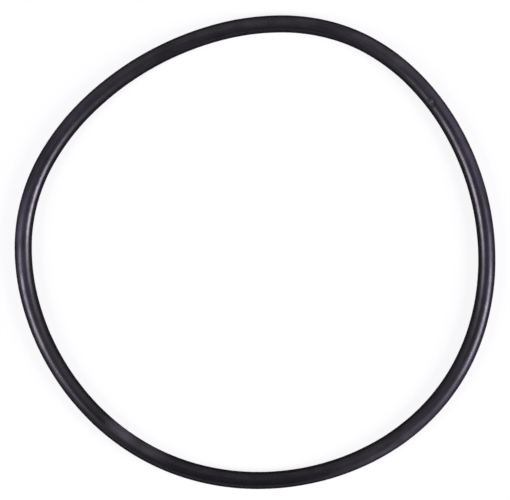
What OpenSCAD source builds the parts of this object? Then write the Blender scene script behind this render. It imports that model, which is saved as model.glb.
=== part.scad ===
/* [Ring] */
// Inside diameter, with the ring held truly round
inside_d = 91.67; // [60:0.01:150]
// Diameter of the round section
section_d = 3.53; // [1.5:0.01:6]

/* [Mould line] */
// How far the mould line stands proud of the section, inside and outside
line_h = 0.05; // [0.02:0.01:0.1]
// Width of the bead that the mould line leaves
line_w = 0.16; // [0.12:0.01:0.3]

/* [Free shape] */
// Oval shape that the ring relaxes into: how far it bulges
oval_h = 0.47; // [0:0.01:1.5]
// Direction of an oval bulge, in degrees
oval_dir = 19; // [0:1:179]
// Three-sided shape: how far it bulges
three_h = 0.79; // [0:0.01:1]
// Direction of a three-sided bulge, in degrees
three_dir = 64; // [0:1:119]
// Four-sided shape: how far it bulges
four_h = 0.47; // [0:0.01:0.6]
// Direction of a four-sided bulge, in degrees
four_dir = 69; // [0:1:89]
// Five-sided shape: how far it bulges
five_h = 0.08; // [0:0.01:0.2]
// Direction of a five-sided bulge, in degrees
five_dir = 18; // [0:1:71]

/* [Hidden] */

rubber_black = "#262528";
section_facets = 48;
bead_facets = 24;
turn_facets = 192;

// The centre line is a closed chain of arcs that each turn by the same angle,
// a whole number of them in each quarter turn
arcs = 24;
turn = 360 / arcs;
quarter = arcs / 4;

// Each arc is drawn in towards its centre by this hair, too small to measure. It pushes both ends
// of the arc into its neighbours, so that the arcs join and don't only touch
hair = 1e-11;

// Radius of the centre line of a truly round ring
mean_r = (inside_d + section_d) / 2;

// Each shape of the free ring: how many bulges, how far they stand out, and where the first one is
bulges = [
    [2, oval_h, oval_dir],
    [3, three_h, three_dir],
    [4, four_h, four_dir],
    [5, five_h, five_dir]
];

// Adds up a list of numbers
function total(values) = values * [for (v = values) 1];

// Points outwards from the ring at an angle
function outward(angle) = [cos(angle), sin(angle)];

// A closed curve that stands out from a circle by h * cos(n * angle) has this much more radius
// of curvature there
function extra_r(n, h, angle) = (1 - n * n) * h * cos(n * angle);

// Radius of one arc of the centre line, taken at the middle of its turn
function arc_r(i) = mean_r + total([for (b = bulges) extra_r(b[0], b[1], (i + 0.5) * turn - b[2])]);

// Centre of one arc. It lies on the radius that the arc shares with the one before,
// so that the two meet with no kink
function arc_centre(i) =
    i == 0 ? [0, 0] : arc_centre(i - 1) + (arc_r(i - 1) - arc_r(i)) * outward(i * turn);

// Where one arc starts. The ring faces straight outwards there at the angle of the joint
function joint(i) = arc_centre(i) + arc_r(i) * outward(i * turn);

// Halfway between the outermost points of the ring, along X and along Y
middle = [
    (joint(0)[0] + joint(2 * quarter)[0]) / 2,
    (joint(quarter)[1] + joint(3 * quarter)[1]) / 2
];

// Moves by whole hundredths of a millimetre and then by the small rest, so that no digit is lost
// and neighbouring arcs meet face to face
module move_exactly(offset) {
    coarse = [for (v = offset) round(v * 100) / 100];
    translate(coarse)
        translate(offset - coarse)
            children();
}

// Round section with the bead of the mould's parting line, inside and outside
module section() {
    circle(d = section_d, $fn = section_facets);
    for (side = [-1, 1])
        translate([side * (section_d / 2 + line_h - line_w / 2), 0])
            circle(d = line_w, $fn = bead_facets);
}

// One arc of the ring, swept about its own centre
module ring_arc(i) {
    move_exactly(arc_centre(i) - middle - hair * outward((i + 0.5) * turn))
        rotate_extrude(angle = turn, start = i * turn, $fn = turn_facets)
            move_exactly([arc_r(i), 0])
                section();
}

// The whole ring: one moulding, at rest and not stretched
module o_ring() {
    color(rubber_black)
        for (i = [0:arcs - 1])
            ring_arc(i);
}

o_ring();
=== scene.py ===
import math

import bpy
import numpy as np
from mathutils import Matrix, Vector


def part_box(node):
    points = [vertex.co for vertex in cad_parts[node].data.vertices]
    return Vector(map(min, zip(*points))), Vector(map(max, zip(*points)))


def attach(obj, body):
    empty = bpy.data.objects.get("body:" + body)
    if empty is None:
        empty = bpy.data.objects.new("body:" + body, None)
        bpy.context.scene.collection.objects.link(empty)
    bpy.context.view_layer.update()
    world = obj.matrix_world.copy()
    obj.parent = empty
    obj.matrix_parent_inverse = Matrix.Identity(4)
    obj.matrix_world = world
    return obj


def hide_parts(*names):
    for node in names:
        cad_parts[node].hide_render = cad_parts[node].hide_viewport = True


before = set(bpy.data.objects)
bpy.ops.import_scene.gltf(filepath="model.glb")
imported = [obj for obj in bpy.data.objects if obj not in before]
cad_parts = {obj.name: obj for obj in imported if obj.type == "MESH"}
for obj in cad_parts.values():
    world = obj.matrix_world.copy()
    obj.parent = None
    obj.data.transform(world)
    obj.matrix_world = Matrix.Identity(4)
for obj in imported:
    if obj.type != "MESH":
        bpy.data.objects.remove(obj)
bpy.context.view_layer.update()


# The ring. It is one seamless moulding of black nitrile rubber, pressed and cured in a mould whose
# two halves close on the middle of the section. It lies free, so it has relaxed out of round into
# a closed chain of arcs, and the mould has left a fine uneven bead on the inside and the outside.

mm = 0.001
inside_d = 91.67 * mm
section_d = 3.53 * mm
mean_r = (inside_d + section_d) / 2
section_r = section_d / 2

# Each shape of the free ring: how many bulges, how far they stand out, and where the first one is
bulges = [
    (2, 0.47 * mm, math.radians(19)),
    (3, 0.79 * mm, math.radians(64)),
    (4, 0.47 * mm, math.radians(69)),
    (5, 0.08 * mm, math.radians(18)),
]
arcs = 24
stations_per_arc = 58


def outward(angle):
    """Points outwards from the ring at each angle."""
    return np.stack([np.cos(angle), np.sin(angle)], axis=-1)


def centre_line(arc_count, per_arc):
    """Angles at which the ring faces outwards, and the points of its centre line there."""
    turn = 2 * math.pi / arc_count
    halfway = (np.arange(arc_count) + 0.5) * turn
    # A closed curve that stands out by h * cos(n * angle) has this much more radius of curvature
    arc_r = mean_r + sum((1 - n * n) * h * np.cos(n * (halfway - first)) for n, h, first in bulges)
    steps = (arc_r[:-1] - arc_r[1:])[:, None] * outward(np.arange(1, arc_count) * turn)
    arc_centres = np.vstack([[0, 0], np.cumsum(steps, axis=0)])
    angles = np.arange(arc_count * per_arc) * turn / per_arc
    arc = np.arange(arc_count * per_arc) // per_arc
    points = arc_centres[arc] + arc_r[arc][:, None] * outward(angles)
    return angles, points - (points.max(axis=0) + points.min(axis=0)) / 2


def ripple(angles, waves, seed):
    """Uneven ripple that closes on itself round the ring, from 0 to 1."""
    phases = np.random.default_rng(seed).uniform(0, 2 * math.pi, len(waves))
    total = sum(np.cos(n * angles + phase) for n, phase in zip(waves, phases))
    return 0.5 + 0.5 * total / len(waves)


station_angles, centres = centre_line(arcs, stations_per_arc)

# The bead of the mould line is a low ridge, part of a thin round wire that lies in the skin. It
# ends where the wire meets the round section, bead_half above and below the mould line
line_h = 0.05 * mm
line_w = 0.16 * mm
bead_r = line_w / 2
bead_out = section_r + line_h - bead_r
bead_half = math.acos((section_r**2 + bead_out**2 - bead_r**2) / (2 * section_r * bead_out))
bead_points = 9
side_points = 20

# Angles round the section, from the outside over the top: close together on the two beads
over_bead = np.linspace(-bead_half, bead_half, bead_points)
over_side = np.linspace(bead_half, math.pi - bead_half, side_points + 2)[1:-1]
section_angles = np.concatenate([over_bead, over_side, over_bead + math.pi, over_side + math.pi])
off_line = np.minimum(abs(np.sin(section_angles)), math.sin(bead_half))
bead_reach = bead_out * np.sqrt(1 - off_line**2) + np.sqrt(bead_r**2 - (bead_out * off_line) ** 2)
bead_rise = np.where(off_line < math.sin(bead_half), bead_reach - section_r, 0)

# The bead keeps between a third and all of its height, and the skin sinks by hundredths
bead_wear = 0.65
wear_waves = (37, 83, 149, 211, 290, 401)
bead_left = 1 - bead_wear * ripple(station_angles, wear_waves, seed=3)
sink_depth = 0.018 * mm
sink_waves = (5, 9, 14, 23, 31)
sink = sink_depth * ripple(station_angles, sink_waves, seed=8)
reach = section_r - sink[:, None] + bead_left[:, None] * bead_rise[None, :]

# One small nick in the top, where something sharp has pressed into the skin
nick_place = np.array([36.36, 31.04]) * mm
nick_turn = math.atan2(nick_place[1], nick_place[0])
nick_long = 0.50 * mm
nick_wide = 0.36 * mm
nick_deep = 0.08 * mm
skin_out = (section_r * np.cos(section_angles))[:, None]
skin_places = centres[:, None, :] + skin_out * outward(station_angles)[:, None, :]
across_nick = (skin_places - nick_place) @ outward(nick_turn) / nick_wide
along_nick = (skin_places - nick_place) @ outward(nick_turn + math.pi / 2) / nick_long
on_top = np.sin(section_angles) > 0
reach = reach - on_top * nick_deep * np.exp(-(along_nick**2 + across_nick**2))

rows, columns = reach.shape
sideways = (reach * np.cos(section_angles))[:, :, None]
corners = np.empty((rows, columns, 3))
corners[:, :, :2] = centres[:, None, :] + sideways * outward(station_angles)[:, None, :]
corners[:, :, 2] = reach * np.sin(section_angles)

here = np.arange(rows * columns).reshape(rows, columns)
next_row = np.roll(here, -1, axis=0)
beside = np.roll(here, -1, axis=1)
ring_faces = np.stack([here, next_row, np.roll(next_row, -1, axis=1), beside], axis=-1)


def smooth_mesh(name, points, faces):
    """Mesh of these points and faces, shaded smooth."""
    mesh = bpy.data.meshes.new(name)
    mesh.from_pydata(points, [], faces)
    mesh.polygons.foreach_set("use_smooth", np.ones(len(mesh.polygons), bool))
    return mesh


def put(name, data):
    """Object with this mesh, lamp or camera in it, put into the scene."""
    thing = bpy.data.objects.new(name, data)
    bpy.context.scene.collection.objects.link(thing)
    return thing


ring_faces = ring_faces.reshape(-1, 4).tolist()
ring_mesh = smooth_mesh("o_ring_moulding", corners.reshape(-1, 3), ring_faces)

# Where each point lies in the rubber, in millimetres, drawn out along the ring so that what is
# patterned by it runs lengthwise. The first three numbers and the fourth go to one 4D texture
drawn_out = 10
lengthwise = np.empty((rows, columns, 3))
lengthwise[:, :, :2] = (outward(station_angles) * mean_r / mm / drawn_out)[:, None, :]
lengthwise[:, :, 2] = (section_r / mm * np.cos(section_angles))[None, :]
upwards = np.broadcast_to(section_r / mm * np.sin(section_angles), (rows, columns))
lengthwise_data = ring_mesh.attributes.new("lengthwise", "FLOAT_VECTOR", "POINT").data
lengthwise_data.foreach_set("vector", lengthwise.ravel())
ring_mesh.attributes.new("upwards", "FLOAT", "POINT").data.foreach_set("value", upwards.ravel())
ring_mesh.update()
ring = put("o_ring_rubber", ring_mesh)


class Wire:
    """One socket of a material. Sums on it add Math nodes, and make() adds any other node."""

    def __init__(self, tree, socket=None):
        self.tree = tree
        self.socket = socket

    def make(self, kind, settings, inputs, output=0):
        """Adds a node: its type, its settings, then the values or links of its sockets."""
        node = self.tree.nodes.new("ShaderNode" + kind)
        for name, value in settings.items():
            setattr(node, name, value)
        for name, value in inputs.items():
            if isinstance(value, Wire):
                self.tree.links.new(value.socket, node.inputs[name])
            else:
                node.inputs[name].default_value = value
        return Wire(self.tree, node.outputs[output] if node.outputs else None)

    def math(self, operation, first, second):
        return self.make("Math", {"operation": operation}, {0: first, 1: second})

    def __add__(self, other):
        return self.math("ADD", self, other)

    def __sub__(self, other):
        return self.math("SUBTRACT", self, other)

    def __rsub__(self, other):
        return self.math("SUBTRACT", other, self)

    def __mul__(self, other):
        return self.math("MULTIPLY", self, other)

    __radd__ = __add__
    __rmul__ = __mul__

    def rise(self, low, high):
        """Goes from 0 to 1 as this value goes from low to high."""
        limits = {"Value": self, "From Min": low, "From Max": high}
        return self.make("MapRange", {"interpolation_type": "SMOOTHSTEP"}, limits)

    def colour(self, low, high):
        """Colour between two others: the first where this value is 0, the second where it is 1."""
        return self.make("Mix", {"data_type": "RGBA"}, {0: self, 6: low, 7: high}, output=2)


def cleared(owner):
    """Empties the nodes of a material or a world, and gives the wire that adds new ones."""
    owner.use_nodes = True
    owner.node_tree.nodes.clear()
    return Wire(owner.node_tree)


rubber = bpy.data.materials.new("satin_black_rubber")
skin = cleared(rubber)
place = skin.make("TexCoord", {}, {}, "Object")
place_x = skin.make("SeparateXYZ", {}, {0: place}, "X")
strand = skin.make("Attribute", {"attribute_name": "lengthwise"}, {}, "Vector")
strand_up = skin.make("Attribute", {"attribute_name": "upwards"}, {}, "Fac")
strand_out = skin.make("SeparateXYZ", {}, {0: strand}, "Z")


def clouds(size, detail=2.0):
    """Soft uneven blotches about as large as size, in metres."""
    look = {"Vector": place, "Scale": 1 / size, "Detail": detail}
    return skin.make("TexNoise", {}, look)


def strands(width, detail=2.0):
    """Soft streaks along the ring about as wide as width, in metres."""
    look = {"Vector": strand, "W": strand_up, "Scale": mm / width, "Detail": detail}
    return skin.make("TexNoise", {"noise_dimensions": "4D"}, look)


def far_from(x, y, z):
    """Distance of each point of the rubber from one place on it."""
    other = Vector((x, y, z))
    return skin.make("VectorMath", {"operation": "DISTANCE"}, {0: place, 1: other}, "Value")


# The polished mould has left a glossy skin over the top and the underside. Towards the mould line
# it is dull, because there the ring was tumbled to take the flash off, a little more on the
# outside. The heights are in millimetres above and below the mould line
dull_up_to = 1.10
glossy_from = 1.43
more_outside = 0.07
up_squared = strand_up * strand_up
glossy = (up_squared - more_outside * strand_out).rise(dull_up_to**2, glossy_from**2)
tumbled = (1 - glossy) * clouds(0.3 * mm, 3).rise(0.35, 0.65)

# The bead of the mould line is worn paler than the skin beside it, unevenly
bead_up_to = 0.04
bead_ends = 0.10
on_bead = 1 - up_squared.rise(bead_up_to**2, bead_ends**2)
worn_line = on_bead * (0.4 + 0.6 * clouds(1.5 * mm, 3).rise(0.4, 0.6))

# A thin grey bloom has come out of the rubber in drawn-out clouds, more on the outer side and on the
# glossy skin. Painted sheen lies with it: the left and the right, where the lamps' highlights fall,
# are made paler and violet. The listed patches are partly bloom and partly painted sheen: X and Y of
# the middle, how far it spreads, and how much of it there is
bloom_and_sheen_places = [
    (31 * mm, 36 * mm, 32 * mm, 0.80),
    (43 * mm, 20 * mm, 18 * mm, 0.35),
    (31 * mm, -37 * mm, 24 * mm, 0.75),
    (22 * mm, -43 * mm, 16 * mm, 0.35),
    (-47 * mm, 4 * mm, 15 * mm, 0.80),
    (-32 * mm, 36 * mm, 22 * mm, 0.45),
    (0 * mm, 48 * mm, 30 * mm, 0.50),
]
bloom_everywhere = 0.05
# Painted sheen: the left and the right, where the lamps' highlights fall, are made paler
painted_sheen_on_sides = 0.43
lamp_sides = (place_x * place_x).rise((23 * mm) ** 2, (47 * mm) ** 2)
bloom_and_sheen_amount = bloom_everywhere + painted_sheen_on_sides * lamp_sides
for x, y, spread, amount in bloom_and_sheen_places:
    bloom_and_sheen_amount = bloom_and_sheen_amount + amount * (1 - far_from(x, y, 0).rise(0, spread))
patchy = strands(1.1 * mm, 3).rise(0.15, 0.62) * (0.6 + 0.4 * clouds(4 * mm).rise(0.35, 0.65))
more_on_outside = 0.15 + 0.85 * strand_out.rise(-1.2, 0.8)
more_on_gloss = 0.5 + 0.5 * glossy
bloom_and_sheen = bloom_and_sheen_amount * patchy * more_on_outside * more_on_gloss

# One long patch on the top is hazy, where the skin was rubbed, and it fades towards one end
rub_place = (-27.8 * mm, -37.4 * mm, 1.7 * mm)
rub_end_place = (-22.0 * mm, -41.4 * mm, 1.7 * mm)
rub_r = 5.0 * mm
rub = 1 - far_from(*rub_place).rise(0.2 * rub_r, rub_r)
rub_end = 1 - far_from(*rub_end_place).rise(0.1 * rub_r, 1.1 * rub_r)
rub_edge = 1 - strand_out.rise(-0.10, 0.45)
haze = (rub + 0.55 * rub_end) * rub_edge * strands(0.6 * mm, 3).rise(0.15, 0.55)

# At the nick a pale painted highlight lies a little outside its middle, where its wall catches the
# lamp, a painted shade runs in an arc along its lip on the outer side, and the skin in front of it
# is bruised
nick_mark_x = 36.49 * mm
nick_mark_y = 31.15 * mm
nick_mark_z = 1.74 * mm
bruise_place = (36.55 * mm, 30.35 * mm, nick_mark_z)
from_nick = far_from(nick_mark_x, nick_mark_y, nick_mark_z)
# Painted highlight: a pale spot a little outside the nick's middle
painted_nick_highlight = 1 - from_nick.rise(0.20 * mm, 0.62 * mm)
bruised = 1 - far_from(*bruise_place).rise(0.30 * mm, 0.95 * mm)
nick_mark_foot = Vector((nick_mark_x, nick_mark_y, 0))
apart = skin.make("VectorMath", {"operation": "SUBTRACT"}, {0: place, 1: nick_mark_foot})
along_it = {0: apart, 1: nick_mark_foot.normalized()}
out_of_nick = skin.make("VectorMath", {"operation": "DOT_PRODUCT"}, along_it, "Value")
lip = from_nick.rise(0.35 * mm, 0.65 * mm) * (1 - from_nick.rise(0.70 * mm, 1.15 * mm))
# Painted shade: a dark arc along the lip on the outer side, where bloom and gloss are taken away
painted_lip_shade = 0.35 * lip * out_of_nick.rise(0, 0.5 * mm) * clouds(0.5 * mm).rise(0.25, 0.6)

# Specks of dust and lint, most of them too small to make out
speck_apart = 1.1 * mm
speck_spots = skin.make("TexVoronoi", {}, {"Vector": place, "Scale": 1 / speck_apart}, "Distance")
specks = (1 - speck_spots.rise(0.03, 0.085)) * clouds(2.5 * mm).rise(0.5, 0.62)

# The colours, from the bare rubber outwards to the dust
bare_black = (0.0029, 0.0026, 0.0032, 1)
tumbled_grey = (0.0105, 0.0097, 0.0116, 1)
line_grey = (0.046, 0.044, 0.049, 1)
bloom_and_sheen_grey = (0.0480, 0.0452, 0.0495, 1)
# Painted sheen: the violet grey of the left and the right
painted_sheen_violet = (0.0480, 0.0425, 0.0605, 1)
# Grey of the rubbed haze, also used for the painted highlight at the nick
haze_and_highlight_grey = (0.050, 0.047, 0.051, 1)
dust_grey = (0.17, 0.165, 0.175, 1)
dulled = tumbled.colour(bare_black, tumbled_grey)
lined = (0.8 * worn_line).colour(dulled, line_grey)
bloom_and_sheen_tint = lamp_sides.colour(bloom_and_sheen_grey, painted_sheen_violet)
# Bloom and painted sheen go into the colour here
with_bloom_and_sheen = (bloom_and_sheen * (1 - painted_lip_shade)).colour(lined, bloom_and_sheen_tint)
hazed_and_lit = (haze + 0.8 * painted_nick_highlight).colour(with_bloom_and_sheen, haze_and_highlight_grey)
dusted = (0.35 * specks).colour(hazed_and_lit, dust_grey)

# Flow lines from the mould, a faint peel and a fine grain, with their real heights
flow_h = 0.003 * mm
peel_h = 0.010 * mm
grain_h = 0.0006 * mm
relief = strands(0.35 * mm, 3) * flow_h + clouds(2.2 * mm) * peel_h + clouds(0.08 * mm, 1) * grain_h
bumped = skin.make("Bump", {}, {"Height": relief, "Strength": 1.0, "Distance": 1.0})

# How much gloss is left. It is taken off under the painted shade of the nick's lip and where the
# skin is bruised, handling has dulled it on the outer side and towards the right, and bloom with its
# painted sheen, haze, streaks and blotches lie over it
whole = glossy * (1 - painted_lip_shade) * (1 - 0.7 * bruised)
handled = 0.19 * strand_out.rise(-0.4, 0.8) + 0.07 * place_x.rise(-40 * mm, 40 * mm)
streaky = strands(0.7 * mm, 2).rise(0.40, 0.70)
blotchy = clouds(3 * mm, 3).rise(0.38, 0.62)
weathered = 0.45 * haze + 0.45 * bloom_and_sheen + 0.22 * streaky + 0.22 * blotchy
gloss = whole * (1 - handled) * (1 - weathered)
roughness = 0.80 - 0.42 * whole + 0.12 * strands(0.5 * mm, 3) + 0.15 * haze + 0.2 * specks

skin_shader = skin.make(
    "BsdfPrincipled",
    {},
    {
        "Base Color": dusted,
        "Roughness": roughness,
        "Normal": bumped,
        "IOR": 1.5,
        "Specular IOR Level": 0.05,
        "Specular Tint": (0.95, 0.88, 1.0, 1),
        "Coat Weight": gloss,
        "Coat Roughness": 0.33,
        "Coat IOR": 1.6,
    },
)
skin.make("OutputMaterial", {}, {"Surface": skin_shader})
ring.data.materials.append(rubber)

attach(ring, "root")
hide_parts("o_ring")


# The floor. It is one sheet of white studio paper that turns up at its edge all round, far
# outside the ring, so that it is also the backdrop. The ring lies on it.

floor_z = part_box("o_ring")[0][2]
inner_rims = [0.2, 1.0]
flat_r = 2.6
edge_r = 0.3
floor_turns = 96
edge_steps = 12

edge_turn = np.linspace(0, math.pi / 2, edge_steps + 1)
rims_r = np.concatenate([inner_rims, flat_r + edge_r * np.sin(edge_turn)])
rims_z = np.concatenate([np.zeros(len(inner_rims)), edge_r * (1 - np.cos(edge_turn))]) + floor_z
floor_angles = np.arange(floor_turns) * 2 * math.pi / floor_turns
rims = np.empty((len(rims_r), floor_turns, 3))
rims[:, :, :2] = rims_r[:, None, None] * outward(floor_angles)[None, :, :]
rims[:, :, 2] = rims_z[:, None]
on_rim = np.arange(len(rims_r) * floor_turns).reshape(len(rims_r), floor_turns)
beside = np.roll(on_rim, -1, axis=1)
bands = np.stack([on_rim[:-1], on_rim[1:], beside[1:], beside[:-1]], axis=-1).reshape(-1, 4)
floor_mesh = smooth_mesh("paper_floor", rims.reshape(-1, 3), [on_rim[0].tolist(), *bands.tolist()])
floor = put("paper_floor", floor_mesh)

# Seen or mirrored, most of the paper's brightness is its own white, and the rest takes the shadow
own_white = 0.85
paper_white = (0.88, 0.88, 0.88, 1)
paper = bpy.data.materials.new("white_paper")
sheet = cleared(paper)
ray_kinds = ("Camera", "Glossy", "Transmission")
rays = [sheet.make("LightPath", {}, {}, f"Is {kind} Ray") for kind in ray_kinds]
seen = own_white * (rays[0] + rays[1] + rays[2])
lit = sheet.make("BsdfDiffuse", {}, {"Color": paper_white})
white = sheet.make("Emission", {}, {"Color": (1, 1, 1, 1), "Strength": 1.0})
paper_shader = sheet.make("MixShader", {}, {0: seen, 1: lit, 2: white})
sheet.make("OutputMaterial", {}, {"Surface": paper_shader})
floor.data.materials.append(paper)


# The light. Two soft lamps stand low on the left and the right, a little towards the near side, and
# a broad dim one hangs over the far side. The room adds a little light from all round. A brightness
# of 1 is that of a white sheet in plain light.

lamp_distance = 0.8
lamp_tint = (1.0, 0.93, 1.10)
room_brightness = 0.04

# Watts for each square metre of a lamp that is as bright as that white sheet
sheet_watts = 4


def soft_lamp(name, azimuth, elevation, width, height, brightness):
    """Lamp that faces the ring. The ring sees it at these angles, in degrees, from +X towards +Y."""
    across = 2 * lamp_distance * math.tan(math.radians(width / 2))
    up = 2 * lamp_distance * math.tan(math.radians(height / 2))
    data = bpy.data.lights.new(name, "AREA")
    data.shape = "RECTANGLE"
    data.size = across
    data.size_y = up
    data.energy = sheet_watts * brightness * across * up
    data.color = lamp_tint
    turned = math.radians(azimuth)
    raised = math.radians(elevation)
    level = math.cos(raised)
    towards = Vector((level * math.cos(turned), level * math.sin(turned), math.sin(raised)))
    lamp = put(name, data)
    lamp.location = towards * lamp_distance
    lamp.rotation_euler = towards.to_track_quat("Z", "Y").to_euler()
    lamp.visible_camera = False


soft_lamp("right_lamp", azimuth=-13.5, elevation=33, width=20, height=28, brightness=17.5)
soft_lamp("left_lamp", azimuth=195, elevation=39, width=15, height=28, brightness=16.5)
soft_lamp("far_lamp", azimuth=80, elevation=48, width=100, height=60, brightness=0.26)

room = bpy.data.worlds.new("room")
around = cleared(room)
room_light = around.make("Background", {}, {"Color": (1, 1, 1, 1), "Strength": room_brightness})
around.make("OutputWorld", {}, {"Surface": room_light})
bpy.context.scene.world = room


# The camera. It looks straight down from well above the ring, and the width of the picture at the
# ring is that of the photograph, in which the ring lies a little below the middle.

picture_w = 105.63 * mm
picture_x = -0.005 * mm
picture_y = 0.456 * mm
camera_distance = 600 * mm
camera_data = bpy.data.cameras.new("camera")
camera_data.sensor_width = 36.0
camera_data.lens = camera_data.sensor_width * camera_distance / picture_w
camera = put("camera", camera_data)
camera.location = (picture_x, picture_y, camera_distance)
bpy.context.scene.camera = camera
bpy.context.scene.view_settings.view_transform = "Standard"
